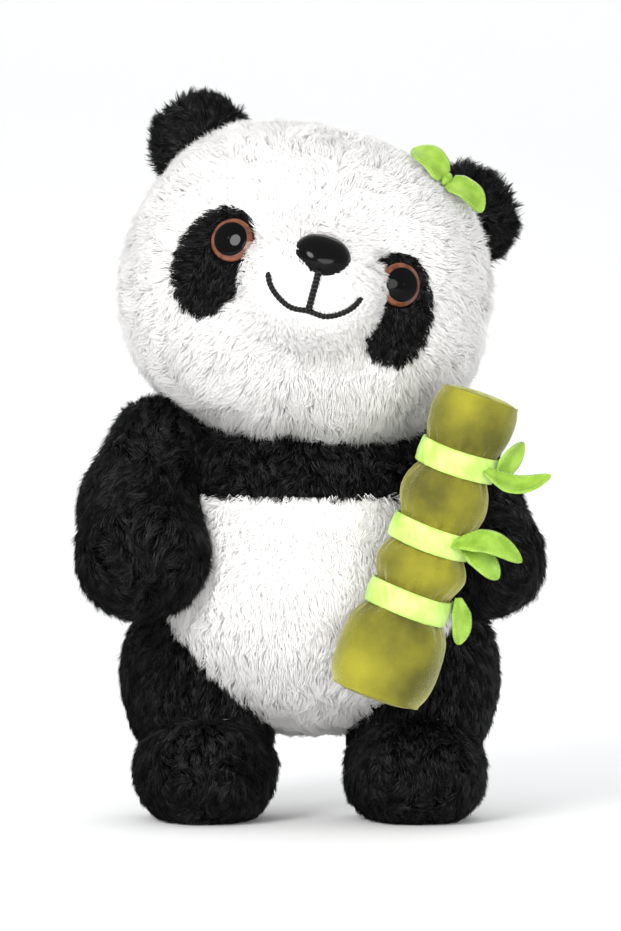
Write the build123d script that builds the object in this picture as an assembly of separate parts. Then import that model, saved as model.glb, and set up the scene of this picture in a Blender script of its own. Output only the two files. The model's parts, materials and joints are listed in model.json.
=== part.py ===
from build123d import *
import os
from math import asin, cos, radians, sin, sqrt

# Plush panda, standing, with a stuffed bamboo stalk tacked to its left paw.
# Millimetres. +Z is up, the face looks along -Y, and the toy's own left side is +X.
# Every soft piece is a closed solid of the fabric's skin; the pile stands outside it.
# A capsule is two balls and the cone or tube between them, and most of the toy is made of them.

os.makedirs("parts", exist_ok=True)

# ---- driving dimensions ----
PILE_FABRIC = 2.0          # backing and root of the long pile
SHORT_FABRIC = 1.5         # short pile of the stalk
CLEAR = 0.5                # gap between pieces that move on each other
SIDES = {"left": 1, "right": -1}
FRAME_SHIFT = (-3.8, 13.4, 0)   # puts the middle of the toy's box over the origin

HEAD_R, HEAD_SPREAD = 66, 10   # ball radius, and how far the two balls stand from the middle
HEAD_CENTRE = (-1, 0, 228)
HEAD_TURN, HEAD_TILT, HEAD_NOD = 2.5, 15, -8.5
NECK_RISE = 15             # neck centre above the head's centre, along the head's own up
NECK_THREAD_R = 0.35

BELLY = (9, 57, 95)        # spread, ball radius, height of the centre
CHEST = (9, 41, 141)
YOKE = (39, 19.5, 157)
TORSO_Y = 3
YOKE_EDGE_Z = 138          # black yoke above, white belly below

SHOULDER = {"left": (61, -5, 156), "right": (-69, -5, 160)}   # the left arm hugs the stalk
SHOULDER_R = 18.5
SHOULDER_TACK_R, SHOULDER_TACK_T = 3.5, 0.8
PAW = {"left": (75, -42, 112.5), "right": (-71, -43, 114)}
PAW_R = {"left": 21, "right": 23}

HIP = (45, 5, 66)
HIP_R = 32
FOOT = (44.6, -12, 18)
FOOT_R, FOOT_SPREAD = 25, 13

EYE_X = {"left": 34.5, "right": -37}
EYE_Z, EYE_R, PUPIL_R = -1.8, 9, 6.6
EYE_WASHER_R, WASHER_T = 8, 1.4
PATCH_X = {"left": 34.5, "right": -40.5}
PATCH_Z, PATCH_HALF, PATCH_LEAN = -11, (15, 22), 8
STEM_R = 2.5
MUZZLE = (0, -58, -13)
MUZZLE_R, MUZZLE_SPREAD = 22.5, 6.5
NOSE = (0, -75, -2)
NOSE_R, NOSE_SPREAD, NOSE_LOOK_UP = 8, 3.5, 20
NOSE_STEM, NOSE_WASHER_R = 7.5, 6.5
MOUTH_Z, MOUTH_END = -25.5, (20, -14)
STITCH_W, STITCH_T = 1.8, 0.8

EAR_ANGLE, EAR_Y, EAR_R, EAR_HALF_DEPTH = 39.5, 8, 19.5, 7
EAR_OUT = 77               # ear's middle, from the head's centre

STALK_TOP = (69.5, -72, 180)
STALK_BOTTOM = (26.9, -72, 57.1)
RIBBON_W, RIBBON_T = 10, 0.5
RIBBON_AT = {"lower": 41.2, "middle": 69.3, "upper": 102.3}
WAIST_R = {"lower": 16.6, "middle": 16.4, "upper": 15.8}
BULGE_R = (20.7, 17.6, 17.6, 16.7)
STALK_END_R = (20.5, 15.6)
TACK_R = 1.0
LEAF_T = 1.6
LEAF_GAP = 2.4

# leaves on the stalk: ribbon, length, width, angle up from level, turn to the back, way round the stalk
STALK_LEAVES = {
    "leaf_upper_level": ("upper", 24, 13, -2, -12, -8),
    "leaf_upper_raised": ("upper", 20, 11, 46, 14, 22),
    "leaf_middle_level": ("middle", 27, 13, -4, -14, -16),
    "leaf_middle_low": ("middle", 24, 12, -46, -8, 2),
    "leaf_lower": ("lower", 20, 11, -74, 12, 24),
}

# head leaves: a bow of two leaves on a stitched knot, in front of the left ear
BOW_AT = (41, -34)
BOW_RISE = 6.2
BOW_FACES = (0.2, -0.85, 0.45)
BOW_KNOT_R = 2.2


# ---- shapes used more than once ----
def mirrored(point, side):
    return (side * point[0], point[1], point[2])


def frame_on(origin, out, right=(1, 0, 0)):
    """A place whose Z is `out` and whose X is as near to `right` as it can be."""
    z = Vector(*out).normalized()
    x = Vector(*right) - z * z.dot(Vector(*right))
    return Location(Plane(origin=Vector(*origin), x_dir=x, z_dir=z))


def rod(radius, low, high):
    """A cylinder about Z from one height to another."""
    return Pos(0, 0, (low + high) / 2) * Cylinder(radius, high - low)


def above(z, size=500):
    """Everything higher than z."""
    return Pos(0, 0, z + size / 2) * Box(size, size, size)


def polar(centre, radius, angle):
    return (centre + radius * cos(angle), radius * sin(angle))


def capsule(a, r_a, b, r_b):
    """Two balls and the cone that touches both."""
    along = Vector(*b) - Vector(*a)
    length = along.length
    back = radians(180)
    touch = radians(90) - asin((r_a - r_b) / length)
    edge = [
        ThreePointArc(polar(0, r_a, back), polar(0, r_a, (touch + back) / 2), polar(0, r_a, touch)),
        Line(polar(0, r_a, touch), polar(length, r_b, touch)),
        ThreePointArc(polar(length, r_b, touch), polar(length, r_b, touch / 2), (length + r_b, 0)),
        Line((length + r_b, 0), (-r_a, 0)),
    ]
    place = Plane(origin=Vector(*a), x_dir=along, z_dir=along.cross(Vector(1, 1, 0)))
    return Location(place) * revolve(make_face(edge), Axis.X)


def wide_capsule(spread, radius, centre=(0, 0, 0)):
    """A capsule that lies along X, even on both sides of its centre."""
    return Pos(*centre) * capsule((-spread, 0, 0), radius, (spread, 0, 0), radius)


parts = {}


# ---- head, in its own frame: X to the toy's left, Y back, Z to the crown ----
HEAD = Pos(*HEAD_CENTRE) * Rot(0, 0, HEAD_TURN) * Rot(0, HEAD_TILT, 0) * Rot(HEAD_NOD, 0, 0)
NECK = (HEAD * Pos(0, 0, NECK_RISE)).position
# the head's lower half lies inside this ball about the neck's centre
NECK_HEAD_R = sqrt(HEAD_SPREAD ** 2 + NECK_RISE ** 2) + HEAD_R
NECK_UPPER_R = NECK_HEAD_R + CLEAR + NECK_THREAD_R
NECK_LOWER_R = NECK_UPPER_R + 2 * NECK_THREAD_R + CLEAR
NECK_DISH_R = NECK_LOWER_R + NECK_THREAD_R + CLEAR


def head_shape(inset=0):
    return wide_capsule(HEAD_SPREAD, HEAD_R - inset)


def on_head(x, y=None, z=None):
    """The point of the head's skin beside its middle, from x and one of y or z, and the way out."""
    centre_x = HEAD_SPREAD if x > 0 else -HEAD_SPREAD
    known = y if y is not None else z
    other = sqrt(HEAD_R ** 2 - (x - centre_x) ** 2 - known ** 2)
    point = (x, y, other) if y is not None else (x, -other, z)
    return point, (point[0] - centre_x, point[1], point[2])


def patch_cutter(name, side):
    """The leaning oval of an eye patch, as a bar along Y."""
    oval = extrude(Ellipse(*PATCH_HALF), 90)
    return Pos(PATCH_X[name], 0, PATCH_Z) * Rot(0, side * -PATCH_LEAN, 0) * Rot(90, 0, 0) * oval


def make_head():
    inner = head_shape(PILE_FABRIC)
    shell = head_shape() - inner
    stuffing = inner
    washer_top = -PILE_FABRIC - 0.8
    for name, side in SIDES.items():
        point, facing = on_head(EYE_X[name], z=EYE_Z)
        eye = frame_on(point, facing)
        stem = rod(STEM_R, -12, 1)
        washer = rod(EYE_WASHER_R, washer_top - WASHER_T, washer_top)
        dome = Pos(0, 0, -5.4) * Sphere(11)
        cutter = patch_cutter(name, side)
        parts[f"eye_patch_{name}"] = HEAD * ((shell & cutter) - eye * stem)
        parts[f"eye_ring_{name}"] = HEAD * eye * (rod(EYE_R, 0.2, 2.6) + stem - rod(PUPIL_R, 1.4, 4))
        parts[f"eye_pupil_{name}"] = HEAD * eye * (dome & rod(PUPIL_R, 1.4, 8))
        parts[f"eye_washer_{name}"] = HEAD * eye * (washer - stem)
        shell = shell - cutter
        stuffing = stuffing - eye * stem - eye * washer
    parts["head_cover"] = HEAD * shell
    parts["head_stuffing"] = HEAD * stuffing


def stroke(line):
    """A line in the XZ plane as a stitched band that reaches forward along -Y."""
    return Rot(90, 0, 0) * extrude(trace(line, STITCH_W), 120)


def make_muzzle():
    outer = wide_capsule(MUZZLE_SPREAD, MUZZLE_R, MUZZLE)
    inner = wide_capsule(MUZZLE_SPREAD, MUZZLE_R - PILE_FABRIC, MUZZLE)
    place = Pos(*NOSE) * Rot(90 - NOSE_LOOK_UP, 0, 0)
    stem = place * rod(STEM_R, -NOSE_STEM, 0)
    washer = place * rod(NOSE_WASHER_R, -NOSE_STEM + 1, -NOSE_STEM + 1 + WASHER_T)
    nose = place * (wide_capsule(NOSE_SPREAD, NOSE_R) & above(-1)) + stem
    parts["nose"] = HEAD * nose
    parts["nose_washer"] = HEAD * (washer - stem)
    parts["muzzle_cover"] = HEAD * (outer - inner - head_shape() - nose)
    parts["muzzle_stuffing"] = HEAD * (inner - head_shape() - nose - washer)

    skin = wide_capsule(MUZZLE_SPREAD, MUZZLE_R + STITCH_T, MUZZLE) - outer - head_shape()
    end_x, end_z = MOUTH_END
    smile = ThreePointArc((-end_x, end_z), (0, MOUTH_Z), (end_x, end_z))
    centre_line = Line((0, MOUTH_Z + STITCH_W), (0, NOSE[2] - NOSE_R - 0.5))
    parts["mouth_smile_stitch"] = HEAD * (skin & stroke(smile))
    parts["mouth_centre_stitch"] = HEAD * ((skin & stroke(centre_line)) - nose)


# ---- ears: a flat disc that stands on its hinge line, with a base rounded about that line ----
def ear_hinge_out():
    """How far out the hinge line is: one rolled base above the head's skin."""
    a = radians(EAR_ANGLE)
    skin = HEAD_SPREAD * cos(a) + sqrt(HEAD_R ** 2 - EAR_Y ** 2 - (HEAD_SPREAD * sin(a)) ** 2)
    return skin + EAR_HALF_DEPTH + CLEAR


def ear_shape(inset):
    rise = EAR_OUT - ear_hinge_out()
    depth = EAR_HALF_DEPTH - inset
    rim = EAR_R - inset - depth
    edge = [
        Line((0, -depth), (rim, -depth)),
        ThreePointArc((rim, -depth), (rim + depth, 0), (rim, depth)),
        Line((rim, depth), (0, depth)),
        Line((0, depth), (0, -depth)),
    ]
    disc = Pos(0, 0, rise) * revolve(make_face(edge), Axis.Y)
    base = wide_capsule(sqrt(EAR_R ** 2 - rise ** 2) - EAR_HALF_DEPTH, depth)
    return (disc & above(0)) + base


def ear_frame(side):
    a = radians(EAR_ANGLE)
    out = (side * cos(a), 0, sin(a))
    hinge = ear_hinge_out()
    across = Vector(0, 1, 0).cross(Vector(*out))
    return frame_on((out[0] * hinge, EAR_Y, out[2] * hinge), out, tuple(across))


def make_ears():
    filling = ear_shape(PILE_FABRIC)
    cover = ear_shape(0) - filling
    for name, side in SIDES.items():
        parts[f"ear_cover_{name}"] = HEAD * ear_frame(side) * cover
        parts[f"ear_filling_{name}"] = HEAD * ear_frame(side) * filling


# ---- leaves ----
def leaf(length, width):
    """A pointed leaf from the origin along X, lying in XY."""
    half = width / 2
    edge = [
        ThreePointArc((0, 0), (length / 2, half), (length, 0)),
        ThreePointArc((length, 0), (length / 2, -half), (0, 0)),
    ]
    return extrude(make_face(edge), LEAF_T / 2, both=True)


def bow_frame():
    point, facing = on_head(BOW_AT[0], y=BOW_AT[1])
    knot = Vector(*point) + Vector(*facing).normalized() * BOW_RISE
    return frame_on(tuple(knot), BOW_FACES, (1, 0, -0.4))


def make_bow():
    place = HEAD * bow_frame()
    knot = Sphere(BOW_KNOT_R)
    start = Pos(BOW_KNOT_R - 0.5, 0, 0)
    parts["head_leaf_upper"] = place * (Rot(0, 0, 174) * start * leaf(19, 12) - knot)
    parts["head_leaf_lower"] = place * (Rot(0, 0, -4) * start * leaf(20, 13) - knot)
    parts["head_leaf_knot"] = place * knot


# ---- neck: two rounds of thread on balls about the neck's centre ----
def neck_round(ball_r, angle):
    a = radians(angle)
    ring = Torus(ball_r * sin(a), NECK_THREAD_R)
    return Pos(NECK.X, NECK.Y, NECK.Z - ball_r * cos(a)) * ring


def make_neck():
    parts["neck_thread_lower"] = neck_round(NECK_LOWER_R, 26)
    parts["neck_thread_upper"] = neck_round(NECK_UPPER_R, 24)


# ---- torso: belly, chest and shoulder roll, hollowed for the head, the arms and the legs ----
SOCKET_GAP = 2 * CLEAR + SHOULDER_TACK_T


def arm_shape(name, inset):
    return capsule(SHOULDER[name], SHOULDER_R - inset, PAW[name], PAW_R[name] - inset)


def torso_shape(inset):
    body = None
    for spread, radius, z in (BELLY, CHEST, YOKE):
        roll = wide_capsule(spread, radius - inset, (0, TORSO_Y, z))
        body = roll if body is None else body + roll
    body = body - Pos(*NECK) * Sphere(NECK_DISH_R + inset)
    for name, side in SIDES.items():
        # each ball's seam is turned to the outside, clear of the body
        seam_out = Rot(0, 0, 90 - 90 * side)
        body = body - Pos(*SHOULDER[name]) * seam_out * Sphere(SHOULDER_R + SOCKET_GAP + inset)
        body = body - arm_shape(name, -3 * CLEAR - inset)
        body = body - Pos(*mirrored(HIP, side)) * seam_out * Sphere(HIP_R + CLEAR + inset)
    return body


def make_torso():
    inner = torso_shape(PILE_FABRIC)
    cover = torso_shape(0) - inner
    parts["shoulder_yoke_cover"] = cover & above(YOKE_EDGE_Z)
    parts["belly_cover"] = cover - above(YOKE_EDGE_Z)
    pouch = wide_capsule(8, 11, (0, 34, 72))
    parts["pellet_pouch"] = pouch
    parts["torso_stuffing"] = inner - pouch


# ---- arms ----
def make_arms():
    tack_from = SHOULDER_R + CLEAR
    for name, side in SIDES.items():
        inner = arm_shape(name, PILE_FABRIC)
        tack = Rot(0, -90 * side, 0) * rod(SHOULDER_TACK_R, tack_from, tack_from + SHOULDER_TACK_T)
        parts[f"arm_cover_{name}"] = arm_shape(name, 0) - inner
        parts[f"arm_stuffing_{name}"] = inner
        parts[f"shoulder_thread_{name}"] = Pos(*SHOULDER[name]) * tack


# ---- legs ----
def foot_shape(inset, centre):
    heel = (centre[0], centre[1] + FOOT_SPREAD, centre[2])
    toe = (centre[0], centre[1] - FOOT_SPREAD, centre[2])
    return capsule(heel, FOOT_R - inset, toe, FOOT_R - inset) & above(inset)


def make_legs():
    for name, side in SIDES.items():
        hip = Pos(*mirrored(HIP, side))
        centre = mirrored(FOOT, side)
        foot = foot_shape(0, centre)
        foot_inner = foot_shape(PILE_FABRIC, centre)
        toe, heel = (centre[0], centre[1] - 14, 10), (centre[0], centre[1] + 14, 10)
        pellets = capsule(heel, 6.5, toe, 6.5)
        parts[f"leg_cover_{name}"] = hip * (Sphere(HIP_R) - Sphere(HIP_R - PILE_FABRIC)) - foot
        parts[f"leg_stuffing_{name}"] = hip * Sphere(HIP_R - PILE_FABRIC) - foot
        parts[f"foot_cover_{name}"] = foot - foot_inner
        parts[f"foot_stuffing_{name}"] = foot_inner - pellets
        parts[f"foot_pellet_bag_{name}"] = pellets


# ---- bamboo stalk, in its own frame: Z up the stalk, X to the toy's left ----
STALK_UP = Vector(*STALK_TOP) - Vector(*STALK_BOTTOM)
STALK_LENGTH = STALK_UP.length
STALK = frame_on(STALK_BOTTOM, tuple(STALK_UP))


def stalk_shape(inset):
    """Four stuffed joints with straight waists where the ribbons go round."""
    low, high = inset, STALK_LENGTH - inset
    here = (STALK_END_R[0] - inset, low)
    edge = [Line((0, low), here)]
    for bulge, name in zip(BULGE_R, RIBBON_AT):
        start = RIBBON_AT[name] - RIBBON_W / 2
        waist = WAIST_R[name] - inset
        edge.append(ThreePointArc(here, (bulge - inset, (here[1] + start) / 2), (waist, start)))
        here = (waist, start + RIBBON_W)
        edge.append(Line((waist, start), here))
    top = (STALK_END_R[1] - inset, high)
    edge.append(ThreePointArc(here, (BULGE_R[-1] - inset, (here[1] + high) / 2), top))
    edge.append(Line(top, (0, high)))
    edge.append(Line((0, high), (0, low)))
    return revolve(Rot(90, 0, 0) * make_face(edge), Axis.Z)


def tack_axis():
    """The point of the stalk's centre line nearest to the left paw, and the way from it to the paw."""
    bottom, paw = Vector(*STALK_BOTTOM), Vector(*PAW["left"])
    up = STALK_UP.normalized()
    nearest = bottom + up * up.dot(paw - bottom)
    return nearest, (paw - nearest).normalized()


def make_stalk():
    inner = stalk_shape(SHORT_FABRIC)
    outer = stalk_shape(0)
    bottom_zone = rod(40, -5, SHORT_FABRIC)
    top_zone = rod(40, STALK_LENGTH - SHORT_FABRIC, STALK_LENGTH + 5)
    nearest, out = tack_axis()
    tack = frame_on(tuple(nearest), tuple(out)) * rod(TACK_R, 10, WAIST_R["middle"] + RIBBON_T)
    parts["stalk_end_bottom"] = STALK * (outer & bottom_zone)
    parts["stalk_end_top"] = STALK * (outer & top_zone)
    parts["stalk_cover"] = STALK * (outer - inner - bottom_zone - top_zone) - tack
    parts["stalk_stuffing"] = STALK * inner - tack
    parts["stalk_tack_thread"] = tack
    for name, z in RIBBON_AT.items():
        band = rod(WAIST_R[name] + RIBBON_T, z - RIBBON_W / 2, z + RIBBON_W / 2)
        hollow = rod(WAIST_R[name], z - RIBBON_W, z + RIBBON_W)
        parts[f"ribbon_{name}"] = STALK * (band - hollow) - tack


def make_stalk_leaves():
    """Each leaf starts beside its ribbon and is level with the floor at angle 0."""
    for name, (ribbon, length, width, rise, turn, around) in STALK_LEAVES.items():
        reach = WAIST_R[ribbon] + RIBBON_T + LEAF_GAP
        root = STALK * Rot(0, 0, around) * Pos(reach, 0, RIBBON_AT[ribbon])
        way = Rot(0, 0, turn) * Rot(0, -rise, 0) * Rot(90, 0, 0)
        parts[name] = Pos(*root.position) * way * leaf(length, width)


make_head()
make_muzzle()
make_ears()
make_bow()
make_neck()
make_torso()
make_arms()
make_legs()
make_stalk()
make_stalk_leaves()

for node, shape in parts.items():
    export_step(Pos(*FRAME_SHIFT) * shape, f"parts/{node}.step")


# ---- places of the joints, in the part's frame ----
def report_place(name, place):
    axes = Plane(place)
    print(name, [round(v, 3) for v in tuple(place.position + Vector(*FRAME_SHIFT))], end=" ")
    print([round(v, 4) for v in tuple(axes.x_dir)], [round(v, 4) for v in tuple(axes.z_dir)])


report_place("neck", Location(NECK))
for arm_name in SIDES:
    report_place(f"shoulder_{arm_name}", Pos(*SHOULDER[arm_name]))
report_place("hip_left", Pos(*HIP))
for ear_name, ear_side in SIDES.items():
    report_place(f"ear_{ear_name}", HEAD * ear_frame(ear_side))
report_place("bow", HEAD * bow_frame())
report_place("tack", frame_on(tuple(tack_axis()[0]), tuple(tack_axis()[1])))
for leaf_ribbon, leaf_z in RIBBON_AT.items():
    report_place(f"leaves_{leaf_ribbon}", STALK * Pos(WAIST_R[leaf_ribbon] + RIBBON_T + LEAF_GAP, 0, leaf_z))
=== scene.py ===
import json
from math import cos, pi, radians, sin, sqrt

import bmesh
import bpy
import numpy as np
from mathutils import Matrix, Vector, kdtree, noise


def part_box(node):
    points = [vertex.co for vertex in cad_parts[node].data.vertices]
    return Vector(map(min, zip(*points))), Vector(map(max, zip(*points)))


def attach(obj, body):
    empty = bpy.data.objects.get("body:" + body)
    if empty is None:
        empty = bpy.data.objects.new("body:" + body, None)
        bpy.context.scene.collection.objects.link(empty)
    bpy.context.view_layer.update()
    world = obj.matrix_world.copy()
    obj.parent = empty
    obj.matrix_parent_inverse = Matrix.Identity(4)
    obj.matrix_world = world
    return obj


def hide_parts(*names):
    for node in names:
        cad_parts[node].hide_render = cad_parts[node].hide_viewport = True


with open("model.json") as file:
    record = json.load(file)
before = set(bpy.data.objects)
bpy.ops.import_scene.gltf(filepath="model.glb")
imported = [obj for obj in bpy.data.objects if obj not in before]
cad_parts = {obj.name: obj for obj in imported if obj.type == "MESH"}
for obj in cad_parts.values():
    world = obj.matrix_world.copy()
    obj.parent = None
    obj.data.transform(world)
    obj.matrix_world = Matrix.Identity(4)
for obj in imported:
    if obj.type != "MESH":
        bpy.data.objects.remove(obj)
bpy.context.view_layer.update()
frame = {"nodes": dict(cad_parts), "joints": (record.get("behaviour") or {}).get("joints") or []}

# The plush panda's looks. Shapes are worked out in millimetres in the toy's own frame (X to its left,
# Y to its back, Z up, floor at 0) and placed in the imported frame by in_frame().

MM = 0.001
SIDES = {"left": 1, "right": -1}

# ---- driving dimensions; arms, legs, ears, yoke edge and leaves differ a little from the CAD's ----
HEAD_CENTRE = (-1, 0, 228)
HEAD_TURN, HEAD_TILT, HEAD_NOD = 2.5, 15, -8.5
SKIN_R, SKIN_SPREAD = 66, 10                 # the CAD head, on which the eyes and the bow stand
EYE_X = {1: 34.5, -1: -37}                   # by side: 1 is the toy's left
EYE_Z, EYE_R, PUPIL_R, DOME_R = -1.8, 9, 7.1, 9.9
PATCH_X = {1: 34.5, -1: -40.5}
PATCH_Z, PATCH_HALF, PATCH_LEAN = -11, (15, 22), 8
PATCH_LAYERS = (0.5, 1.1)                    # how far before the head's skin its two faces lie
MUZZLE, MUZZLE_HALF, MUZZLE_POWER = (0, -56, -13), (29.5, 24, 24.5), 2.15
NOSE, NOSE_LOOK_UP, NOSE_HALF = (0, -75, -2), 20, (12.0, 9.5, 7.9)
EAR_ANGLE, EAR_RISE, EAR_HALF = 39.5, -4.6, (16.6, 6.3, 16.2)
SHOULDER = {1: (57, -5, 156), -1: (-64, -5, 159)}
ELBOW = {1: (65, -20, 132), -1: (-72.5, -21, 134)}
PAW = {1: (72.5, -42, 112.5), -1: (-70.5, -43, 114)}
ARM_R = {1: (16, 18, 20.5), -1: (17, 19.8, 23.3)}
THIGH, THIGH_HALF = (48.5, 8, 61), (29, 32, 34)
FOOT, FOOT_HALF = (44.6, -12, 20.5), (26, 37.5, 24)
YOKE_EDGE_Z = 137.5
STALK_TOP, STALK_BOTTOM = (69.5, -72, 180), (26.9, -72, 57.1)
RIBBON_W = 10
RIBBON_AT = {"lower": 41.2, "middle": 69.3, "upper": 102.3}
WAIST_R = {"lower": 16.6, "middle": 16.4, "upper": 15.8}
BULGE_R = (21.0, 18.6, 18.0, 17.3)
UNDER_RIBBON = 1.2           # how much smaller the stalk is than its ribbon's inside
END_CROWN = 1.9              # how far each end of the stalk bulges out
LEAF_GAP = 2.4
FABRIC = 2.0                 # how thick the pile's backing is
LUMP_SIZE = 17               # how wide the stuffing's lumps are

# The head, with its cheeks: half sizes, and how square the form is.
HEAD_HALF, HEAD_POWER, HEAD_DROP = (72.5, 64.5, 64.5), 2.4, 3.0


# ---- vectors and frames, on arrays of points ----
def unit(v):
    return v / np.maximum(np.linalg.norm(v, axis=-1, keepdims=True), 1e-9)


def turn(axis, degrees):
    return np.array(Matrix.Rotation(radians(degrees), 4, axis))


def shift(point):
    moved = np.eye(4)
    moved[:3, 3] = point
    return moved


def frame_on(origin, out, right=(1, 0, 0)):
    """A frame whose Z is `out` and whose X is as near to `right` as it can be."""
    z = unit(np.array(out, float))
    x = np.array(right, float)
    x = unit(x - z * (x @ z))
    frame_matrix = shift(origin)
    frame_matrix[:3, 0], frame_matrix[:3, 1], frame_matrix[:3, 2] = x, np.cross(z, x), z
    return frame_matrix


def put(matrix, points):
    return np.asarray(points, float) @ matrix[:3, :3].T + matrix[:3, 3]


def back(matrix, points):
    return (np.asarray(points, float) - matrix[:3, 3]) @ matrix[:3, :3]


def mirrored(point, side):
    return np.array((side * point[0], point[1], point[2]), float)


HEAD = shift(HEAD_CENTRE) @ turn("Z", HEAD_TURN) @ turn("Y", HEAD_TILT) @ turn("X", HEAD_NOD)
head_low, head_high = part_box("head_stuffing")
TOY = np.array((head_low + head_high) / 2) / MM - np.array(HEAD_CENTRE)
JOINTS = {j["name"]: j for j in frame["joints"]}


def in_frame(points):
    return (np.asarray(points, float) + TOY) * MM


def joint_place(name):
    return np.array(JOINTS[name]["pos_m"]) / MM - TOY


def joint_axis(name):
    return np.array(JOINTS[name]["axis"], float)


# ---- materials ----
def principled(name, color, roughness=0.8, **sockets):
    material = bpy.data.materials.new(name)
    material.use_nodes = True
    shader = material.node_tree.nodes["Principled BSDF"]
    shader.inputs["Base Color"].default_value = (*color, 1)
    shader.inputs["Roughness"].default_value = roughness
    for key, value in sockets.items():
        shader.inputs[key.replace("_", " ")].default_value = value
    return material


def patterned(name, dark, light, scale, roughness=0.8, bump=0.0, bump_scale=400, **sockets):
    """Two colours mixed by a noise, and a finer noise for the relief."""
    material = principled(name, light, roughness, **sockets)
    nodes, links = material.node_tree.nodes, material.node_tree.links
    shader = nodes["Principled BSDF"]
    place = nodes.new("ShaderNodeTexCoord").outputs["Object"]
    cloud = nodes.new("ShaderNodeTexNoise")
    cloud.inputs["Scale"].default_value = scale
    cloud.inputs["Detail"].default_value = 5
    ramp = nodes.new("ShaderNodeValToRGB")
    for stop, (position, colour) in zip(ramp.color_ramp.elements, ((0.36, dark), (0.64, light))):
        stop.position, stop.color = position, (*colour, 1)
    links.new(place, cloud.inputs["Vector"])
    links.new(cloud.outputs["Fac"], ramp.inputs["Fac"])
    links.new(ramp.outputs["Color"], shader.inputs["Base Color"])
    if bump:
        grain = nodes.new("ShaderNodeTexNoise")
        grain.inputs["Scale"].default_value = bump_scale
        grain.inputs["Detail"].default_value = 3
        relief = nodes.new("ShaderNodeBump")
        relief.inputs["Strength"].default_value = bump
        relief.inputs["Distance"].default_value = 0.0006
        links.new(place, grain.inputs["Vector"])
        links.new(grain.outputs["Fac"], relief.inputs["Height"])
        links.new(relief.outputs["Normal"], shader.inputs["Normal"])
    return material


def tint(*rgb):
    return (*rgb, 1)


WHITE_SHADES = [principled(name, colour, 0.8, Sheen_Weight=0.2, Sheen_Roughness=0.4) for name, colour in (
    ("pile_white_bright", (0.985, 0.972, 0.955)),
    ("pile_white", (0.965, 0.95, 0.93)),
    ("pile_white_warm", (0.94, 0.922, 0.895)),
)]
BLACK_SHADES = [
    principled("pile_black_deep", (0.0008, 0.0008, 0.001), 0.5, Specular_IOR_Level=0.08),
    principled("pile_black", (0.0018, 0.0018, 0.0022), 0.46, Specular_IOR_Level=0.14),
    principled("pile_black_grey", (0.007, 0.007, 0.008), 0.36, Specular_IOR_Level=0.3),
]
WHITE_SKIN = patterned("pile_backing_white", (0.92, 0.905, 0.88), (0.97, 0.96, 0.945), 90, 0.9, 0.4, 900)
BLACK_SKIN = patterned("pile_backing_black", (0.001, 0.001, 0.0012), (0.003, 0.003, 0.004), 90, 0.95,
                       0.8, 900, Specular_IOR_Level=0.1)
STUFFING = patterned("stuffing_fibre", (0.78, 0.77, 0.74), (0.92, 0.91, 0.89), 160, 0.95)
PELLETS = patterned("pellet_bag_weave", (0.56, 0.56, 0.53), (0.74, 0.74, 0.71), 500, 0.85)
WASHER = principled("washer_plastic", (0.78, 0.78, 0.76), 0.42, Specular_IOR_Level=0.5)
WHITE_THREAD = principled("thread_white", (0.85, 0.83, 0.79), 0.6, Sheen_Weight=0.2)
GREEN_THREAD = principled("thread_green", (0.2, 0.38, 0.05), 0.5, Sheen_Weight=0.2)
BLACK_THREAD = principled("thread_black", (0.003, 0.003, 0.003), 0.45, Specular_IOR_Level=0.25)
NOSE_PLASTIC = principled("nose_plastic", (0.001, 0.001, 0.0012), 0.13, Specular_IOR_Level=0.14)
PUPIL_PLASTIC = principled("pupil_plastic", (0.0008, 0.0008, 0.001), 0.05, Specular_IOR_Level=0.12)
IRIS_PLASTIC = patterned("iris_plastic", (0.075, 0.022, 0.01), (0.18, 0.055, 0.024), 260, 0.1,
                         Specular_IOR_Level=0.5)
STALK_PILE = patterned("stalk_velour", (0.085, 0.08, 0.001), (0.3, 0.28, 0.012), 24, 0.85, 0.9, 1500,
                       Sheen_Weight=1.0, Sheen_Roughness=0.24, Sheen_Tint=tint(0.97, 0.98, 0.55))
STALK_END_PILE = patterned("stalk_end_velour", (0.13, 0.12, 0.002), (0.27, 0.25, 0.012), 60, 0.85, 0.9, 1500,
                           Sheen_Weight=0.5, Sheen_Roughness=0.4, Sheen_Tint=tint(0.9, 0.95, 0.45))
RIBBON_SATIN = patterned("ribbon_satin", (0.4, 0.64, 0.1), (0.56, 0.78, 0.19), 130, 0.36, 0.25, 2600,
                         Sheen_Weight=0.35, Sheen_Roughness=0.3, Sheen_Tint=tint(0.9, 1, 0.7))
LEAF_SATIN = patterned("leaf_satin", (0.18, 0.33, 0.02), (0.29, 0.48, 0.05), 150, 0.42, 0.35, 2400,
                       Sheen_Weight=0.3, Sheen_Roughness=0.3, Sheen_Tint=tint(0.9, 1, 0.7))
LEAF_STITCH = principled("leaf_stitching", (0.42, 0.66, 0.1), 0.6, Sheen_Weight=0.2)


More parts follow.
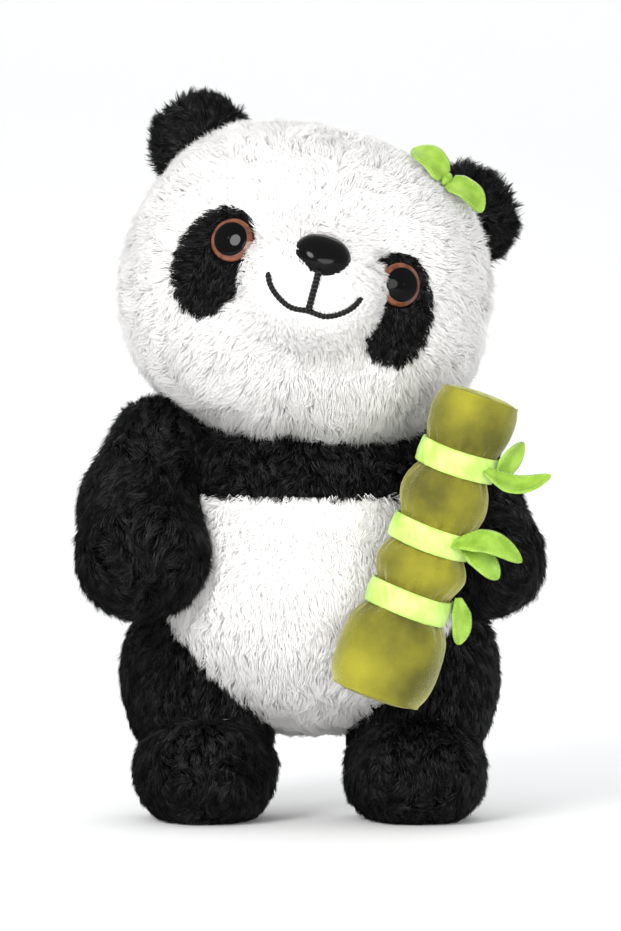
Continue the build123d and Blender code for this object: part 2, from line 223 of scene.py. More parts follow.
# ---- pieces ----
def make_piece(name, points, faces, materials, body, slot, stands_for=(), shade=None, normals=None):
    """A mesh from arrays: points in toy millimetres, and faces of one size."""
    faces = np.asarray(faces, np.int32)
    mesh = bpy.data.meshes.new(name)
    mesh.vertices.add(len(points))
    mesh.vertices.foreach_set("co", in_frame(points).astype(np.float32).ravel())
    mesh.loops.add(faces.size)
    mesh.loops.foreach_set("vertex_index", faces.ravel())
    mesh.polygons.add(len(faces))
    mesh.polygons.foreach_set("loop_start", np.arange(0, faces.size, faces.shape[1], dtype=np.int32))
    mesh.update(calc_edges=True)
    mesh.polygons.foreach_set("use_smooth", np.full(len(faces), True))
    for material in materials:
        mesh.materials.append(material)
    if shade is not None:
        mesh.polygons.foreach_set("material_index", np.asarray(shade, np.int32))
    if normals is not None:
        mesh.normals_split_custom_set_from_vertices(normals)
    mesh.update()
    piece = bpy.data.objects.new(name, mesh)
    bpy.context.scene.collection.objects.link(piece)
    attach(piece, body)
    if stands_for:
        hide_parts(*stands_for)
    return piece


def stuffed(name, skin, paint, body, slot, cover, filling=None):
    """A padded piece's skin, and its filling under the fabric."""
    make_piece(f"{name}_skin", *skin, [paint], body, slot, [cover])
    if filling:
        inner = skin[0] - skin_normals(*skin)[0] * FABRIC
        make_piece(f"{name}_filling", inner, skin[1], [STUFFING], body, "stuffing", [filling])


LATTICES = {}


def ball_lattice(level):
    """Even directions all round, and the triangles between them."""
    if level not in LATTICES:
        ball = bmesh.new()
        bmesh.ops.create_icosphere(ball, subdivisions=level, radius=1)
        directions = np.array([v.co[:] for v in ball.verts], float)
        triangles = np.array([[v.index for v in f.verts] for f in ball.faces])
        ball.free()
        LATTICES[level] = (directions, triangles)
    return LATTICES[level]


def closed_skin(outside, centre, level=6, reach=110, lumps=0.0, seed=0):
    """From the centre each way out, the first point where outside() turns positive, with soft lumps."""
    directions, triangles = ball_lattice(level)
    centre = np.array(centre, float)
    step = 1.5
    near, far = np.zeros(len(directions)), np.full(len(directions), float(reach))
    found = np.zeros(len(directions), bool)
    for distance in np.arange(step, reach, step):
        first = (outside(centre + directions * distance) > 0) & ~found
        far[first], near[first] = distance, distance - step
        found |= first
    for _ in range(14):
        middle = (near + far) / 2
        out = outside(centre + directions * middle[:, None]) > 0
        far, near = np.where(out, middle, far), np.where(out, near, middle)
    if lumps:
        surface = centre + directions * far[:, None]
        lump = [noise.noise(Vector(p) / LUMP_SIZE + Vector((seed, 0, 0))) for p in surface]
        far = far + lumps * np.array(lump)
    return centre + directions * far[:, None], triangles


def skin_normals(points, triangles):
    a, b, c = (points[triangles[:, k]] for k in range(3))
    flat = np.cross(b - a, c - a)
    total = np.zeros_like(points)
    for k in range(3):
        np.add.at(total, triangles[:, k], flat)
    return unit(total), flat


# ---- forms: negative inside, in millimetres ----
def ellipsoid(p, centre, half, power=2.0):
    q = np.abs((p - np.array(centre)) / np.array(half))
    return ((q ** power).sum(1) ** (1 / power) - 1) * min(half)


def limb(p, a, r_a, b, r_b):
    along = b - a
    t = np.clip((p - a) @ along / (along @ along), 0, 1)
    return np.linalg.norm(p - a - t[:, None] * along, axis=1) - (r_a + (r_b - r_a) * t)


def joined(d, e, soft):
    h = np.clip(0.5 + 0.5 * (e - d) / soft, 0, 1)
    return e * (1 - h) + d * h - soft * h * (1 - h)


def cheek(z):
    """How wide the head is at a height in its own frame: fullest a little below the eyes."""
    return HEAD_HALF[0] + 2.0 * np.exp(-((z + 20) / 24) ** 2)


def head_form(p):
    q = back(HEAD, p)
    s = (np.abs(q[:, 0]) / cheek(q[:, 2])) ** HEAD_POWER + (np.abs(q[:, 1]) / HEAD_HALF[1]) ** HEAD_POWER
    s = s + (np.abs(q[:, 2] + HEAD_DROP) / HEAD_HALF[2]) ** HEAD_POWER
    return (s ** (1 / HEAD_POWER) - 1) * HEAD_HALF[1]


def head_front(x, z):
    """How far back the front of the head's skin is, in its own frame."""
    left = 1 - (np.abs(x) / cheek(z)) ** HEAD_POWER - (np.abs(z + HEAD_DROP) / HEAD_HALF[2]) ** HEAD_POWER
    return -HEAD_HALF[1] * np.maximum(left, 0.01) ** (1 / HEAD_POWER)


def muzzle_form(p):
    return ellipsoid(back(HEAD, p), MUZZLE, MUZZLE_HALF, MUZZLE_POWER)


def muzzle_blend(p):
    """The muzzle, run smoothly out over the head round its seam, except where an eye patch is."""
    ball = muzzle_form(p)
    skirt = ellipsoid(back(HEAD, p), MUZZLE, np.array(MUZZLE_HALF) + 7, MUZZLE_POWER)
    blend = np.maximum(joined(head_form(p), ball, 11), skirt)
    patch = np.min([patch_place(p, s) for s in SIDES.values()], axis=0)
    return np.where(patch < 1.1, ball, blend)


def arm_form(p, side):
    shoulder, elbow, paw = (np.array(q[side], float) for q in (SHOULDER, ELBOW, PAW))
    radii = ARM_R[side]
    return joined(limb(p, shoulder, radii[0], elbow, radii[1]), limb(p, elbow, radii[1], paw, radii[2]), 6)


def foot_form(p, side):
    return np.maximum(ellipsoid(p, mirrored(FOOT, side), FOOT_HALF, 2.1), 0.4 - p[:, 2])


def thigh_form(p, side):
    thigh = ellipsoid(p, mirrored(THIGH, side), THIGH_HALF)
    shin = limb(p, mirrored((45.5, 3, 54), side), 26.5, mirrored((44.5, -6, 36), side), 25)
    return joined(thigh, shin, 8)


def body_form(p):
    belly = ellipsoid(p, (0, 3, 95), (65, 56.5, 57))
    chest = ellipsoid(p, (0, 3, 138), (54, 45.5, 38))
    roll = limb(p, np.array((-36.0, 2, 158)), 18.5, np.array((36.0, 2, 158)), 18.5)
    whole = joined(joined(belly, chest, 14), roll, 8)
    dish = 88 - np.linalg.norm(p - NECK, axis=1)
    whole = np.maximum(whole, dish)
    for side in SIDES.values():
        whole = np.maximum(whole, 2.6 - thigh_form(p, side))
        whole = np.maximum(whole, 2.0 - arm_form(p, side))
    return whole


def stalk_form(p):
    return limb(p, np.array(STALK_BOTTOM, float), 20, np.array(STALK_TOP, float), 17)


EAR = {}
for side_name, side in SIDES.items():
    out_way = HEAD[:3, :3] @ np.array((side * cos(radians(EAR_ANGLE)), 0, sin(radians(EAR_ANGLE))))
    EAR[side] = frame_on(joint_place(f"ear_bend_{side_name}"), out_way, joint_axis(f"ear_bend_{side_name}"))
NECK = joint_place("head_nod")


def ear_form(p, side):
    q = back(EAR[side], p)
    return np.maximum(ellipsoid(q, (0, 0, EAR_RISE), EAR_HALF, 2.2), -6.6 - q[:, 2])


def patch_place(p, side):
    """A point's place in an eye patch: 1 on its rim, less inside. Only for the front of the head."""
    q = back(HEAD, p)
    x, z = q[:, 0] - PATCH_X[side], q[:, 2] - PATCH_Z
    a = radians(side * PATCH_LEAN)
    u, v = x * cos(a) + z * sin(a), -x * sin(a) + z * cos(a)
    place = np.hypot(u / (PATCH_HALF[0] + 1), v / (PATCH_HALF[1] + 1))
    return np.where(q[:, 1] < 0, place, 9.0)


# ---- pile: tapered tufts that stand on a skin ----
SPIKE = []
for k in range(3):
    j = (k + 1) % 3
    SPIKE += [(k, j, 3 + j), (k, 3 + j, 3 + k), (3 + k, 3 + j, 6)]
SPIKE = np.array(SPIKE + [(0, 2, 1)])
SOFT_WHITE, SOFT_BLACK = 0.9, 0.3   # how far a hair's shading leans to the skin's, as fine pile's does
MAX_TUFTS = 19500          # a piece has at most this many, so that its mesh stays under 200,000 faces


def hairs(root, middle, tip, normal, width, soft_shade):
    along = unit(tip - root)
    side = unit(np.cross(along, normal + 1e-4))
    other = np.cross(along, side)
    rings = []
    for centre, radius in ((root, width * 0.5), (middle, width * 0.4)):
        for k in range(3):
            a = 2 * pi * k / 3
            rings.append(centre + radius[:, None] * (cos(a) * side + sin(a) * other))
    points = np.stack(rings + [tip], axis=1)
    faces = (np.arange(len(root)) * 7)[:, None, None] + SPIKE[None]
    centres = np.stack([root] * 3 + [middle] * 3 + [root], axis=1)
    round_way = unit(points - centres)
    soft = unit(round_way * (1 - soft_shade) + unit(normal + along * 0.35)[:, None, :] * soft_shade)
    return points.reshape(-1, 3), faces.reshape(-1, 3), soft.reshape(-1, 3)


def smooth_field(p, wave, seed):
    """A smooth random vector at each point, each part from -1 to 1."""
    rng = np.random.default_rng(seed)
    total = np.zeros_like(p)
    for _ in range(5):
        direction = unit(rng.normal(size=3))
        phase = rng.uniform(0, 2 * pi, 3)
        pace = 2 * pi / (wave * rng.uniform(0.7, 1.5))
        total += np.sin((p @ direction)[:, None] * pace + phase)
    return total / 2.2


def grow_pile(name, skin, body, slot, shades, count, length, flow, keep, seed, lift=50, width=0.62,
              tuft=13, pull=0.55, wild=0.35, curl=0.25):
    """Roots spread evenly over the skin where keep() allows; each hair leans with the flow and to its tuft."""
    points, triangles = skin
    rng = np.random.default_rng(seed)
    normals, flat = skin_normals(points, triangles)
    area = np.linalg.norm(flat, axis=1)
    chosen = rng.choice(len(triangles), count, p=area / area.sum())
    u, v = rng.random(count), rng.random(count)
    over = u + v > 1
    u[over], v[over] = 1 - u[over], 1 - v[over]
    weights = np.stack((1 - u - v, u, v), axis=1)
    root = (points[triangles[chosen]] * weights[:, :, None]).sum(1)
    normal = unit((normals[triangles[chosen]] * weights[:, :, None]).sum(1))
    kept = keep(root, normal)
    root, normal = root[kept], normal[kept]
    order = np.argsort(root[:, 1], kind="stable")
    root, normal = root[order], normal[order]
    n = len(root)
    reach = (length(root) if callable(length) else np.full(n, float(length))) * rng.uniform(0.78, 1.12, n)

    way = flow(root)
    way = way + smooth_field(root, 21, seed + 1) * 0.45 + smooth_field(root, 8, seed + 2) * 0.3
    way = unit(way - normal * (way * normal).sum(1, keepdims=True))
    stray = rng.normal(size=(n, 3)) * wild
    rise, lay = sin(radians(lift)), cos(radians(lift))
    bend = unit(normal * rise + way * lay + stray * 0.6)
    middle = root + reach[:, None] * 0.52 * unit(normal * (rise + 0.25) + way * lay * 0.6 + stray * 0.35)
    tip = root + reach[:, None] * unit(bend + way * curl)

    # tufts: some roots lead, and the hairs round each leader lean to its tip
    leaders = rng.choice(n, max(n // tuft, 1), replace=False)
    tree = kdtree.KDTree(len(leaders))
    for index, leader in enumerate(leaders):
        tree.insert(root[leader], index)
    tree.balance()
    nearest = np.array([tree.find(p)[1] for p in root])
    leader = leaders[nearest]
    share = (pull * rng.uniform(0.5, 1.35, n))[:, None]
    tip = tip + (tip[leader] - tip) * share
    middle = middle + (middle[leader] - middle) * share * 0.3
    tip[:, 2], middle[:, 2] = np.maximum(tip[:, 2], 0.3), np.maximum(middle[:, 2], 0.45)
    root[:, 2] = np.maximum(root[:, 2], 0.4)

    tone = np.clip(rng.normal(0, 0.7, n) + rng.normal(0, 0.55, n)[leader] + 1, 0, len(shades) - 1).round()
    soft_shade = SOFT_WHITE if shades is WHITE_SHADES else SOFT_BLACK
    pieces = []
    parts = int(np.ceil(n / MAX_TUFTS))
    for part, rows in enumerate(np.array_split(np.arange(n), parts)):
        spikes, faces, soft = hairs(root[rows], middle[rows], tip[rows], normal[rows],
                                    np.full(len(rows), width), soft_shade)
        shade = np.repeat(tone[rows], len(SPIKE))
        label = name if parts == 1 else f"{name}_{part + 1}"
        pieces.append(make_piece(label, spikes, faces, shades, body, slot, shade=shade, normals=soft))
    return pieces


def away_from(point, also=(0, 0, 0)):
    point, also = np.array(point, float), np.array(also, float)
    return lambda p: unit(p - point) + also


# ---- head ----
EYE = {}
for side in SIDES.values():
    out_x = EYE_X[side] - side * SKIN_SPREAD
    eye_y = -sqrt(SKIN_R ** 2 - out_x ** 2 - EYE_Z ** 2)
    EYE[side] = HEAD @ frame_on((EYE_X[side], eye_y, EYE_Z), (out_x, eye_y, EYE_Z)) @ shift((0, 0, -1.2))

MOUTH = ((-20, -14), (-17.5, -19), (-13, -23.2), (-7, -25.9), (0, -25.6),
         (7, -25.9), (13, -23.2), (17.5, -19), (20, -14))


def smooth_line(corners, count):
    """A smooth curve through the corners (Catmull-Rom), evenly sampled."""
    p = np.array(corners, float)
    p = np.vstack((2 * p[0] - p[1], p, 2 * p[-1] - p[-2]))
    made = []
    for k in range(1, len(p) - 2):
        for t in np.linspace(0, 1, 24, endpoint=k == len(p) - 3):
            a, b, c, d = p[k - 1:k + 3]
            made.append(0.5 * (2 * b + (c - a) * t + (2 * a - 5 * b + 4 * c - d) * t ** 2
                               + (3 * b - a - 3 * c + d) * t ** 3))
    made = np.array(made)
    run = np.concatenate(([0], np.cumsum(np.linalg.norm(np.diff(made, axis=0), axis=1))))
    at = np.linspace(0, run[-1], count)
    return np.stack([np.interp(at, run, made[:, k]) for k in range(made.shape[1])], axis=1)


MOUTH_LINE = smooth_line(MOUTH, 120)
CENTRE_LINE = smooth_line(((0, -25.2), (0, -20), (0, -13), (0, -9)), 40)


def from_mouth(p):
    q = back(HEAD, p)[:, [0, 2]]
    lines = np.vstack((MOUTH_LINE, CENTRE_LINE))
    return np.sqrt(((q[:, None, :] - lines[None, :, :]) ** 2).sum(2)).min(1)


def eye_gap(p):
    """How far a point is from the nearer eye's rim, in the eye's own plane; far for the back of the head."""
    gaps = []
    for s in SIDES.values():
        q = back(EYE[s], p)
        gaps.append(np.where(q[:, 2] > -20, np.hypot(q[:, 0], q[:, 1]) - EYE_R, 99.0))
    return np.min(gaps, axis=0)


def nose_gap(p):
    q = back(HEAD, p)
    return np.hypot((q[:, 0] - NOSE[0]) / NOSE_HALF[0], (q[:, 2] - NOSE[2] - 1) / NOSE_HALF[1]) - 1


def head_length(p):
    """Short on the face, long on the cheeks, crown and back."""
    q = back(HEAD, p)
    from_face = np.linalg.norm(q - np.array((0, -62, -6)), axis=1)
    chin = np.clip((-q[:, 2] - 38) / 22, 0, 1) * np.clip(-q[:, 1] / 20, 0, 1)
    return 5.0 + 3.4 * np.clip((from_face - 30) / 45, 0, 1) + 2.4 * chin


head_skin = closed_skin(head_form, HEAD_CENTRE, 6, 95, lumps=1.4, seed=3)
stuffed("head", head_skin, WHITE_SKIN, "head", "white_pile", "head_cover", "head_stuffing")


def head_keep(p, n):
    patch = np.min([patch_place(p, s) for s in SIDES.values()], axis=0)
    ears = np.min([ear_form(p, s) for s in SIDES.values()], axis=0)
    return (patch > 1.02) & (muzzle_form(p) > 2.5) & (ears > 0.3) & (body_form(p) > -1) & (eye_gap(p) > 0.3)


face_point = put(HEAD, [(0, -66, -6)])[0]
grow_pile("head_pile", head_skin, "head", "white_pile", WHITE_SHADES, 120000, head_length,
          away_from(face_point, (0, 0, -0.3)), head_keep, 11,
          lift=50, width=0.4, tuft=60, pull=0.42, wild=0.5)

muzzle_skin = closed_skin(muzzle_blend, put(HEAD, [MUZZLE])[0], 6, 50, lumps=0.4, seed=5)
stuffed("muzzle", muzzle_skin, WHITE_SKIN, "head", "short_white_pile", "muzzle_cover", "muzzle_stuffing")


def muzzle_keep(p, n):
    patch = np.min([patch_place(p, s) for s in SIDES.values()], axis=0)
    seen = (patch > 1.02) | (muzzle_form(p) < 1)
    return seen & (head_form(p) > -1) & (from_mouth(p) > 1.25) & (nose_gap(p) > -0.12) & (eye_gap(p) > 0.2)


grow_pile("muzzle_pile", muzzle_skin, "head", "short_white_pile", WHITE_SHADES, 34000,
          lambda p: 2.3 + np.clip((from_mouth(p) - 4) / 9, 0, 1) * 3.8,
          away_from(face_point), muzzle_keep, 13, lift=56, width=0.36, tuft=22, wild=0.42)


def patch_mesh(side, rings=9, spokes=48):
    """A thin oval laid over the front of the head."""
    oval = []
    for layer in PATCH_LAYERS:
        for ring in range(1, rings + 1):
            for spoke in range(spokes):
                a, r = 2 * pi * spoke / spokes, ring / rings
                u, v = PATCH_HALF[0] * r * cos(a), PATCH_HALF[1] * r * sin(a)
                lean = radians(side * PATCH_LEAN)
                x = PATCH_X[side] + u * cos(lean) - v * sin(lean)
                z = PATCH_Z + u * sin(lean) + v * cos(lean)
                oval.append((x, head_front(np.array(x), np.array(z)) - layer, z))
    oval = np.array(oval, float)
    faces, top = [], rings * spokes
    for spoke in range(spokes):
        following = (spoke + 1) % spokes
        for ring in range(rings - 1):
            a, b = ring * spokes + spoke, ring * spokes + following
            c, d = a + spokes, b + spokes
            faces += [(a, c, d), (a, d, b), (top + a, top + d, top + c), (top + a, top + b, top + d)]
        a, b = (rings - 1) * spokes + spoke, (rings - 1) * spokes + following
        faces += [(a, top + a, top + b), (a, top + b, b)]
    middle = len(oval)
    centre_y = head_front(np.array(PATCH_X[side]), np.array(PATCH_Z))
    oval = np.vstack((oval, [(PATCH_X[side], centre_y - layer, PATCH_Z) for layer in PATCH_LAYERS]))
    for spoke in range(spokes):
        following = (spoke + 1) % spokes
        faces += [(middle, spoke, following), (middle + 1, top + following, top + spoke)]
    return put(HEAD, oval), np.array(faces)[:, ::-1]


for side_name, side in SIDES.items():
    patch = make_piece(f"eye_patch_skin_{side_name}", *patch_mesh(side), [BLACK_SKIN], "head", "black_pile",
                       [f"eye_patch_{side_name}"])

    def patch_keep(p, n, side=side):
        facing_out = (n @ HEAD[:3, 1]) < 0
        return (patch_place(p, side) < 1) & (eye_gap(p) > 0.5) & (muzzle_form(p) > 0.5) & facing_out

    near_patch = head_skin[0][head_skin[1]].mean(1)
    chosen = head_skin[1][patch_place(near_patch, side) < 1.15]
    grow_pile(f"eye_patch_pile_{side_name}", (head_skin[0], chosen), "head", "black_pile", BLACK_SHADES, 6500,
              lambda p: 4.6, away_from(put(HEAD, [(side * 30, -62, 12)])[0], (0, 0, -0.25)), patch_keep,
              17 + side, lift=52, width=0.42, wild=0.45)


# ---- turned and swept shapes ----
def turned(matrix, profile, steps=72):
    """A closed profile of (radius, height) turned about the frame's Z."""
    profile = np.array(profile, float)
    n = len(profile)
    points, faces = [], []
    for k in range(steps):
        a = 2 * pi * k / steps
        points += [(r * cos(a), r * sin(a), z) for r, z in profile]
        for m in range(n):
            a0, a1 = k * n + m, k * n + (m + 1) % n
            b0, b1 = (k + 1) % steps * n + m, (k + 1) % steps * n + (m + 1) % n
            faces.append((a0, b0, b1, a1))
    return put(matrix, points), faces


def dome_height(r):
    return 0.9 + 4.1 * np.sqrt(np.maximum(1 - (r / DOME_R) ** 2, 0))


for side_name, side in SIDES.items():
    r = np.linspace(PUPIL_R - 0.25, EYE_R, 9)
    rim = [(x, dome_height(x) - 0.25) for x in r]
    rim += [(EYE_R + 0.15, dome_height(EYE_R) - 0.9), (EYE_R + 0.1, 0.2),
            (EYE_R - 0.6, -2.2), (PUPIL_R - 0.25, -2.2)]
    make_piece(f"eye_iris_{side_name}", *turned(EYE[side], rim, 96), [IRIS_PLASTIC], "head", "brown_plastic",
               [f"eye_ring_{side_name}"])
    r = np.linspace(0.02, PUPIL_R, 12)
    dome = [(x, dome_height(x)) for x in r] + [(PUPIL_R + 0.12, dome_height(PUPIL_R) - 0.35), (PUPIL_R, -1.8),
                                                (0.02, -1.8)]
    make_piece(f"eye_dome_{side_name}", *turned(EYE[side], dome, 96), [PUPIL_PLASTIC], "head", "black_plastic",
               [f"eye_pupil_{side_name}"])


def nose_form(p):
    q = back(NOSE_PLACE, p)
    low = np.clip(-q[:, 1] / NOSE_HALF[1], 0, 1)
    q = q / np.stack((NOSE_HALF[0] * (1 - 0.3 * low ** 1.6), np.full(len(q), NOSE_HALF[1]),
                      np.full(len(q), NOSE_HALF[2])), axis=1)
    front = ((np.abs(q) ** 2.25).sum(1) ** (1 / 2.25) - 1) * 8
    return np.maximum(front, -1.5 - back(NOSE_PLACE, p)[:, 2])


NOSE_PLACE = HEAD @ shift(NOSE) @ turn("X", 90 - NOSE_LOOK_UP)
nose_skin = closed_skin(nose_form, put(NOSE_PLACE, [(0, 0, 0.5)])[0], 6, 16)
make_piece("nose_shell", *nose_skin, [NOSE_PLASTIC], "head", "black_plastic", ["nose"])


def swept(line, radius, sides=10):
    """A round tube along a line of points, with rounded ends."""
    line = np.asarray(line, float)
    n = len(line)
    along = unit(np.gradient(line, axis=0))
    helper = np.array((0.0, 1.0, 0.0))
    across = unit(np.cross(along, helper))
    other = np.cross(along, across)
    taper = np.minimum(np.arange(n), np.arange(n)[::-1])
    taper = np.sqrt(np.clip(taper / 3, 0.05, 1))
    points = []
    for k in range(sides):
        a = 2 * pi * k / sides
        points.append(line + (radius * taper)[:, None] * (cos(a) * across + sin(a) * other))
    points = np.stack(points, axis=1).reshape(-1, 3)
    faces = []
    for m in range(n - 1):
        for k in range(sides):
            j = (k + 1) % sides
            faces.append((m * sides + k, m * sides + j, (m + 1) * sides + j, (m + 1) * sides + k))
    return points, faces


def on_muzzle(flat, lift):
    """Points (x, z) of the head's frame put on the front of the muzzle, `lift` above its skin."""
    half = np.array(MUZZLE_HALF) + lift
    x, z = flat[:, 0], flat[:, 1]
    left = 1 - np.abs((x - MUZZLE[0]) / half[0]) ** MUZZLE_POWER
    left = left - np.abs((z - MUZZLE[2]) / half[2]) ** MUZZLE_POWER
    return np.stack((x, MUZZLE[1] - half[1] * np.maximum(left, 0.002) ** (1 / MUZZLE_POWER), z), axis=1)


def twisted(line, strand_r, offset, pitch):
    """Two plies twisted round a line, as one mesh."""
    along = unit(np.gradient(line, axis=0))
    across = unit(np.cross(along, (0.0, 1.0, 0.0)))
    other = np.cross(along, across)
    run = np.concatenate(([0], np.cumsum(np.linalg.norm(np.diff(line, axis=0), axis=1))))
    points, faces = np.zeros((0, 3)), []
    for ply in (0, pi):
        a = 2 * pi * run / pitch + ply
        path = line + offset * (np.cos(a)[:, None] * across + np.sin(a)[:, None] * other)
        tube, quads = swept(path, strand_r)
        faces += [tuple(i + len(points) for i in quad) for quad in quads]
        points = np.vstack((points, tube))
    return points, faces


MOUTH_STITCHES = (
    ("mouth_smile", smooth_line(MOUTH, 260), 0.72),
    ("mouth_centre", smooth_line(((0, -25.4), (0, -20), (0, -13), (0, -8.5)), 80), 0.85),
)
for name, line, strand_r in MOUTH_STITCHES:
    thread = twisted(on_muzzle(line, 1.5), strand_r, strand_r * 0.75, 3.4)
    make_piece(f"{name}_thread", put(HEAD, thread[0]), thread[1], [BLACK_THREAD], "head", "black_thread",
               [f"{name}_stitch"])

# ---- ears ----
for side_name, side in SIDES.items():
    ear_middle = put(EAR[side], [(0, 0, 2)])[0]
    skin = closed_skin(lambda p: ear_form(p, side), ear_middle, 5, 40, lumps=0.6, seed=7 + side)
    stuffed(f"ear_{side_name}", skin, BLACK_SKIN, f"ear_{side_name}", "black_pile", f"ear_cover_{side_name}",
            f"ear_filling_{side_name}")
    base = put(EAR[side], [(0, 0, -8)])[0]
    grow_pile(f"ear_pile_{side_name}", skin, f"ear_{side_name}", "black_pile", BLACK_SHADES, 10000, 10.0,
              away_from(base), lambda p, n: (n @ EAR[side][:3, 2]) > -0.75, 23 + side,
              lift=62, width=0.44, tuft=12, pull=0.85, wild=0.62)

# ---- body ----
def body_keep(p, n):
    """Not on the flat cut between belly and yoke, nor where a limb or the head covers the body."""
    flat_cut = (np.abs(p[:, 2] - YOKE_EDGE_Z) < 1.2) & (np.abs(n[:, 2]) > 0.8)
    limbs = [form(p, s) for form in (thigh_form, arm_form) for s in SIDES.values()]
    return ~flat_cut & (np.min(limbs, axis=0) > 2.2) & (head_form(p) > 0.5) & (p[:, 2] > 30)


# body part: which side of the edge, centre, shades, skin, slot, length, flow, count, seed
BODY_PARTS = {
    "belly": (-1, (0, 3, 96), WHITE_SHADES, WHITE_SKIN, "white_pile", 7.2, (0, -0.25, -1), 62000, 31),
    "shoulder_yoke": (1, (0, 3, 149), BLACK_SHADES, BLACK_SKIN, "black_pile", 7.6, (0, -0.5, -0.9),
                      36000, 37),
}
for body_part, (edge, centre, shades, paint, slot, pile_length, down, count, seed) in BODY_PARTS.items():
    skin = closed_skin(lambda p: np.maximum(body_form(p), edge * (YOKE_EDGE_Z - p[:, 2])),
                       centre, 6, 90, 1.0, seed)
    stuffed(body_part, skin, paint, "torso", slot, f"{body_part}_cover")
    grow_pile(f"{body_part}_pile", skin, "torso", slot, shades, count, pile_length,
              away_from((0, 3, 120), down), body_keep, seed, lift=48, width=0.42, tuft=18, wild=0.42)

skin = closed_skin(lambda p: body_form(p) + FABRIC, (0, 3, 110), 6, 100)
make_piece("torso_filling", *skin, [STUFFING], "torso", "stuffing", ["torso_stuffing"])


# ---- arms, legs and feet ----
def black_limb(part, limb, side_name, skin, count, length, flow, keep, seed, lift=42):
    """A stuffed part of a limb, and its pile."""
    body = f"{limb}_{side_name}"
    stuffed(f"{part}_{side_name}", skin, BLACK_SKIN, body, "black_pile", f"{part}_cover_{side_name}",
            f"{part}_stuffing_{side_name}")
    grow_pile(f"{part}_pile_{side_name}", skin, body, "black_pile", BLACK_SHADES, count, length, flow, keep,
              seed, lift=lift, width=0.44, tuft=17)


for side_name, side in SIDES.items():
    shoulder, elbow, paw = (np.array(q[side], float) for q in (SHOULDER, ELBOW, PAW))
    skin = closed_skin(lambda p: arm_form(p, side), elbow, 6, 80, 1.0, 41 + side)

    def arm_flow(p):
        return unit(paw - shoulder) * 1.0 + unit(p - elbow) * 0.35

    def arm_length(p):
        return 9.5 - 4.5 * np.clip(1 - (stalk_form(p) - 2) / 12, 0, 1)

    black_limb("arm", "arm", side_name, skin, 32000, arm_length, arm_flow,
               lambda p, n: (body_form(p) > 0.2) & (head_form(p) > 1) & (stalk_form(p) > 0), 43 + side)

    thigh_centre = mirrored(THIGH, side)
    skin = closed_skin(lambda p: np.maximum(thigh_form(p, side), 0.6 - foot_form(p, side)),
                       thigh_centre, 6, 70, 1.0, 51 + side)
    black_limb("leg", "leg", side_name, skin, 27000, 8.0, away_from(thigh_centre, (0, 0, -1.4)),
               lambda p, n: (foot_form(p, side) > 1.2) & (body_form(p) > 0.3) & (thigh_form(p, -side) > 0),
               53 + side)

    foot_centre = mirrored(FOOT, side)
    skin = closed_skin(lambda p: foot_form(p, side), foot_centre, 6, 60, 0.8, 61 + side)
    skin[0][:, 2] = np.maximum(skin[0][:, 2], 0.4)
    black_limb("foot", "leg", side_name, skin, 29000, lambda p: 4.2 + 3.4 * np.clip(p[:, 2] / 14, 0, 1),
               away_from(foot_centre + np.array((0, 6, 24)), (0, 0, -0.2)),
               lambda p, n: (thigh_form(p, side) > -1) & (n[:, 2] > -0.9), 63 + side, lift=48)

# ---- bamboo stalk: four stuffed joints ----
STALK_UP = np.array(STALK_TOP, float) - np.array(STALK_BOTTOM, float)
STALK_LENGTH = float(np.linalg.norm(STALK_UP))
STALK = frame_on(STALK_BOTTOM, STALK_UP)
RIBBONS = ("lower", "middle", "upper")
EDGES = [0.0]
for ribbon in RIBBONS:
    EDGES += [RIBBON_AT[ribbon] - RIBBON_W / 2, RIBBON_AT[ribbon] + RIBBON_W / 2]
EDGES.append(STALK_LENGTH)


def stalk_radius(z, angle):
    """The stuffed joint's radius: full in the middle, pulled in hard under each ribbon's edge."""
    radius = np.zeros_like(z)
    for k, bulge in enumerate(BULGE_R):
        low, high = EDGES[2 * k], EDGES[2 * k + 1]
        here = (z >= low) & (z <= high)
        full = bulge - 1.1 + 2.0 * np.sin(pi * np.clip((z - low) / (high - low), 0, 1)) ** 0.8
        drop = np.zeros_like(z)
        for edge_z, way, number in ((low, 1, k - 1), (high, -1, k)):
            if 0 <= number < len(RIBBONS):
                inside = np.maximum(way * (z - edge_z), 0)
                waist = WAIST_R[RIBBONS[number]] - UNDER_RIBBON
                drop = np.maximum(drop, (full - waist) * np.exp(-(inside / 4.2) ** 1.2))
        radius = np.where(here, full - drop, radius)
    for k, ribbon in enumerate(RIBBONS):
        here = (z > EDGES[2 * k + 1]) & (z < EDGES[2 * k + 2])
        waist = WAIST_R[ribbon] - UNDER_RIBBON + 0.4 * np.cos((z - RIBBON_AT[ribbon]) * pi / RIBBON_W)
        radius = np.where(here, waist, radius)
    from_waist = np.min([np.abs(z - RIBBON_AT[r]) - RIBBON_W / 2 for r in RIBBONS], axis=0)
    gather = np.exp(-np.maximum(from_waist, 0) / 5.0) * 0.42
    gather = gather * (np.sin(11 * angle + 0.18 * z) + 0.7 * np.sin(19 * angle - 0.11 * z + 1.3)
                       + 0.5 * np.sin(7 * angle + 2.2))
    return radius + gather


